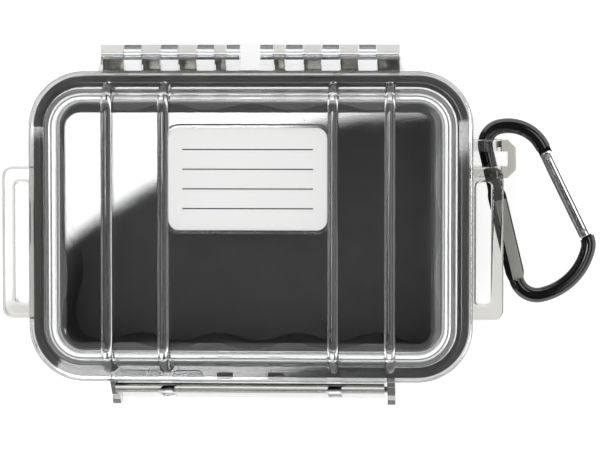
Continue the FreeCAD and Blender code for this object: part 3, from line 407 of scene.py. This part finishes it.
valve_nylon = moulded_nylon("glass_filled_nylon_valve", "#1a1a1b", "#242425")
plunger_nylon = moulded_nylon("moulded_acetal_plunger", "#222223", "#2b2b2c")
membrane_film = moulded_nylon("stretched_fluoropolymer_film", "#e6e6e2", "#f2f2ef")

# %% [markdown]
# ## Label
# The label is a white printed film under a satin varnish, with plain lines to write on.

# %% Printed label film
RULE_GAP_MM = 5.6
RULE_WIDTH_MM = 0.35
RULE_MARGIN_MM = 4.0


def printed_film(name):
    """White film with lines to write on."""
    made, tree = new_material(name)
    low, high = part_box("label_plate")
    centre = (low + high) / 2
    half = (high - low) / 2
    margin = RULE_MARGIN_MM * MM
    half_gap = RULE_GAP_MM * MM / 2
    place = add_node(tree, "ShaderNodeTexCoord").outputs["Object"]
    moved = add_node(
        tree, "ShaderNodeVectorMath", {"operation": "SUBTRACT"}, {0: place, 1: centre}
    )
    split = add_node(tree, "ShaderNodeSeparateXYZ", sockets={"Vector": moved.outputs["Vector"]})
    across = maths(tree, "ABSOLUTE", split.outputs["X"])
    upright = maths(tree, "ABSOLUTE", split.outputs["Y"])
    shifted = maths(tree, "ADD", split.outputs["Y"], half_gap)
    from_rule = maths(tree, "PINGPONG", shifted, half_gap)
    on_rule = maths(tree, "LESS_THAN", from_rule, RULE_WIDTH_MM * MM / 2)
    in_width = maths(tree, "LESS_THAN", across, half.x - margin)
    in_height = maths(tree, "LESS_THAN", upright, half.y - margin)
    ink = maths(tree, "MULTIPLY", maths(tree, "MULTIPLY", on_rule, in_width), in_height)
    shader = surface(
        tree,
        {
            "Base Color": tint(tree, ink, "#fbfbfa", "#262626"),
            "Roughness": spread(tree, grain(tree, size_mm=1.2), 0.28, 0.36),
            "IOR": 1.49,
            "Normal": relief(tree, grain(tree, size_mm=1.5, detail=2.0), depth_mm=0.004),
        },
    )
    close_material(tree, shader)
    return made


label_film = printed_film("printed_polypropylene_film")
print("materials made:", len(bpy.data.materials))

# %% [markdown]
# ## Spring inside the gate
# The gate is a tube, and a coil spring in it pushes the plunger against the hook. The spring is
# wound here as a wire: a small circle that is swept round an axis by a Screw modifier. Its axis
# runs from the gate's rivet to the pin at the gate's free end, and its length comes from the
# solid that keeps its place in the motion model.

# %% Wind the spring
WIRE_MM = 0.35
PITCH_MM = 0.9
WIRE_SIDES = 10
STEPS_PER_TURN = 32
MERGE_MM = 0.001
rivet_low, rivet_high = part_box("gate_rivet")
pin_low, pin_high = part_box("gate_nose_pin")
gate_run = (pin_low + pin_high - rivet_low - rivet_high).normalized()
spring_low, spring_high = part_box("gate_spring")
coil_radius = (spring_high.z - spring_low.z) / 2
coil_width = 2 * coil_radius * abs(gate_run.y)
coil_length = (spring_high.x - spring_low.x - coil_width) / abs(gate_run.x)
coil_turns = int((coil_length / MM - WIRE_MM) / PITCH_MM)
wire_radius = WIRE_MM * MM / 2

bpy.ops.object.select_all(action="DESELECT")
bpy.ops.mesh.primitive_circle_add(
    vertices=WIRE_SIDES,
    radius=wire_radius,
    fill_type="NGON",
    location=(coil_radius - wire_radius, 0, 0),
    rotation=(math.radians(90), 0, 0),
)
spring = bpy.context.active_object
spring.name = "wound_gate_spring"
bpy.ops.object.transform_apply(location=True, rotation=True, scale=True)
wind = spring.modifiers.new("winding", "SCREW")
wind.axis = "Z"
wind.screw_offset = PITCH_MM * MM
wind.iterations = coil_turns
wind.steps = STEPS_PER_TURN
wind.render_steps = STEPS_PER_TURN
wind.use_smooth_shade = True
bpy.ops.object.modifier_apply(modifier=wind.name)
bpy.ops.object.mode_set(mode="EDIT")
bpy.ops.mesh.select_all(action="SELECT")
bpy.ops.mesh.remove_doubles(threshold=MERGE_MM * MM)
bpy.ops.mesh.normals_make_consistent(inside=False)
bpy.ops.object.mode_set(mode="OBJECT")
spring.rotation_mode = "QUATERNION"
spring.rotation_quaternion = gate_run.to_track_quat("Z", "Y")
spring.location = (spring_low + spring_high) / 2 - gate_run * (coil_turns * PITCH_MM * MM / 2)
bpy.ops.object.transform_apply(location=True, rotation=True, scale=True)
spring.data.materials.append(spring_steel)
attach(spring, "gate")
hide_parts("gate_spring")
print("spring turns:", coil_turns, "length mm:", round(coil_length / MM, 2))

# %% [markdown]
# ## Finishes of the solids
# Every other piece keeps its solid, whose faces carry their exact curvature, and gets a finish.

# %% Finish the solids
FINISHES = {
    "lid_shell": lid_polycarbonate,
    "base_shell": base_polycarbonate,
    "latch": latch_polycarbonate,
    "liner": liner_rubber,
    "label_plate": label_film,
    "hinge_pin_left": pin_steel,
    "hinge_pin_right": pin_steel,
    "latch_pin": pin_steel,
    "valve_body": valve_nylon,
    "valve_nut": valve_nylon,
    "valve_cap": valve_nylon,
    "valve_seal": seal_rubber,
    "valve_membrane": membrane_film,
    "clip_body": hook_aluminium,
    "clip_gate": gate_aluminium,
    "gate_rivet": rivet_steel,
    "gate_nose_pin": rivet_steel,
    "gate_plunger": plunger_nylon,
}
for node_name, finish in FINISHES.items():
    nodes[node_name].data.materials.clear()
    nodes[node_name].data.materials.append(finish)
print("finished solids:", len(FINISHES))

# %% [markdown]
# ## Table
# The case lies on a wide pale table. The table is lit like any surface, so it keeps the case's
# shadow, and it adds a little light of its own for the eye and for what the clear plastic shows,
# so that the picture's ground is white.

# %% Table
TABLE_SIZE = 6
TABLE_DROP_MM = 0.05


def table_material(name, pale, lift):
    """A pale table whose own light shows to the eye, in reflections and through the plastic."""
    made, tree = new_material(name)
    path = add_node(tree, "ShaderNodeLightPath").outputs
    mirrored = maths(tree, "MAXIMUM", path["Is Camera Ray"], path["Is Glossy Ray"])
    seen = maths(tree, "MAXIMUM", mirrored, path["Is Transmission Ray"])
    strength = maths(tree, "MULTIPLY", seen, lift)
    glow = add_node(tree, "ShaderNodeEmission", sockets={"Strength": strength})
    matte = add_node(tree, "ShaderNodeBsdfDiffuse", sockets={"Color": colour(pale)})
    both = add_node(
        tree, "ShaderNodeAddShader", sockets={0: glow.outputs[0], 1: matte.outputs[0]}
    )
    close_material(tree, both.outputs[0])
    return made


bpy.ops.object.select_all(action="DESELECT")
bpy.ops.mesh.primitive_plane_add(size=TABLE_SIZE, location=(0, 0, -TABLE_DROP_MM * MM))
table = bpy.context.active_object
table.name = "table"
table.data.materials.append(table_material("pale_table", "#f2f2f2", lift=0.55))
print("table in metres:", TABLE_SIZE)

# %% [markdown]
# ## Soft light over the upper left
# The flat lid mirrors a soft light, whose lower edge is the slanted white shape on the lid. The
# reflection shows where the light ends: a point of the lid reflects the point that lies as far
# beyond it, seen from the camera, as the lamp is high. The light's edge is a wide arc, so the
# lamp is a card that glows outside a dark round flag near the lens.

# %% Soft light over the upper left
CARD_HEIGHT = camera_place.z + 0.03
CARD_LOW = (-0.27, -0.16)
CARD_HIGH = (0.045, 0.036)
CARD_STRENGTH = 12.0
FLAG_CENTRE = (0.050, -0.325)
FLAG_RADIUS = 0.350
FLAG_SOFTNESS = 0.006


def plain_glow(name, strength):
    """An even white glow."""
    made, tree = new_material(name)
    glow = add_node(tree, "ShaderNodeEmission", sockets={"Strength": strength})
    close_material(tree, glow.outputs[0])
    return made


def flagged_glow(name):
    """A white glow that stops softly at the flag's round edge."""
    made, tree = new_material(name)
    place = add_node(tree, "ShaderNodeNewGeometry").outputs["Position"]
    offset = add_node(
        tree,
        "ShaderNodeVectorMath",
        {"operation": "DISTANCE"},
        {0: place, 1: (*FLAG_CENTRE, CARD_HEIGHT)},
    )
    edge = add_node(
        tree,
        "ShaderNodeMapRange",
        {"interpolation_type": "SMOOTHSTEP"},
        {
            "Value": offset.outputs["Value"],
            "From Min": FLAG_RADIUS - FLAG_SOFTNESS,
            "From Max": FLAG_RADIUS + FLAG_SOFTNESS,
            "To Min": 0.0,
            "To Max": CARD_STRENGTH,
        },
    )
    glow = add_node(tree, "ShaderNodeEmission", sockets={"Strength": edge.outputs["Result"]})
    close_material(tree, glow.outputs[0])
    return made


def add_sheet(name, centre, across, deep, material):
    """A flat stage card of a given size, which the camera does not see."""
    bpy.ops.object.select_all(action="DESELECT")
    bpy.ops.mesh.primitive_plane_add(size=1, location=(*centre, CARD_HEIGHT))
    made = bpy.context.active_object
    made.name = name
    made.scale = (across, deep, 1)
    made.data.materials.append(material)
    made.visible_camera = False
    print(name, "in metres:", round(across, 3), "x", round(deep, 3))


card_middle = [(low + high) / 2 for low, high in zip(CARD_LOW, CARD_HIGH)]
card_across, card_deep = [high - low for low, high in zip(CARD_LOW, CARD_HIGH)]
add_sheet("light_card", card_middle, card_across, card_deep, flagged_glow("light_card_glow"))

# %% [markdown]
# One long weak light beyond the right side puts a soft stripe on the edges that face it.

# %% Long light beyond the right side
STRIP_CENTRE = (0.54, 0.0)
STRIP_WIDTH = 0.42
STRIP_LENGTH = 1.1
STRIP_STRENGTH = 2.0
strip_glow = plain_glow("light_strip_glow", STRIP_STRENGTH)
add_sheet("light_strip", STRIP_CENTRE, STRIP_WIDTH, STRIP_LENGTH, strip_glow)

# %% [markdown]
# ## Room
# The room is bright along the horizon and dark overhead, which draws the light and dark lines
# along the rounded edges. Light that has passed through the plastic finds a lighter ceiling, soft
# light comes evenly from all sides, and the eye itself sees plain white. No real room is all of
# these at once: the levels were chosen by comparing the render with the photograph.

# %% Room
HORIZON = 2.6
HORIZON_ENDS = 0.25
CEILING_STARTS = 0.50
CEILING_MIRRORED = 0.08
CEILING_THROUGH = 1.2
SOFT_LEVEL = 0.72
world = bpy.data.worlds.new("room")
bpy.context.scene.world = world
world.use_nodes = True
room = world.node_tree
room.nodes.clear()
path = add_node(room, "ShaderNodeLightPath").outputs
way = add_node(room, "ShaderNodeTexCoord").outputs["Generated"]
height = add_node(room, "ShaderNodeSeparateXYZ", sockets={"Vector": way}).outputs["Z"]


def under_ceiling(level):
    """A room that is bright along the horizon and falls to a level overhead."""
    return add_node(
        room,
        "ShaderNodeMapRange",
        {"interpolation_type": "SMOOTHSTEP"},
        {
            "Value": height,
            "From Min": HORIZON_ENDS,
            "From Max": CEILING_STARTS,
            "To Min": HORIZON,
            "To Max": level,
        },
    ).outputs["Result"]


def choose(factor, first, second):
    """The first value, or the second where the factor is 1."""
    sockets = {"Factor": factor, "A": first, "B": second}
    return add_node(room, "ShaderNodeMix", {"data_type": "FLOAT"}, sockets).outputs["Result"]


mirrored = under_ceiling(CEILING_MIRRORED)
through = choose(path["Is Transmission Ray"], mirrored, under_ceiling(CEILING_THROUGH))
soft = choose(path["Is Diffuse Ray"], through, SOFT_LEVEL)
seen = maths(room, "MAXIMUM", soft, path["Is Camera Ray"])
background = add_node(room, "ShaderNodeBackground", sockets={"Strength": seen})
add_node(room, "ShaderNodeOutputWorld", sockets={"Surface": background.outputs[0]})
print("room nodes:", len(room.nodes))

# %% [markdown]
# ## Plain view settings
# The picture is shown as it was computed.

# %% View settings
bpy.context.scene.view_settings.view_transform = "Standard"
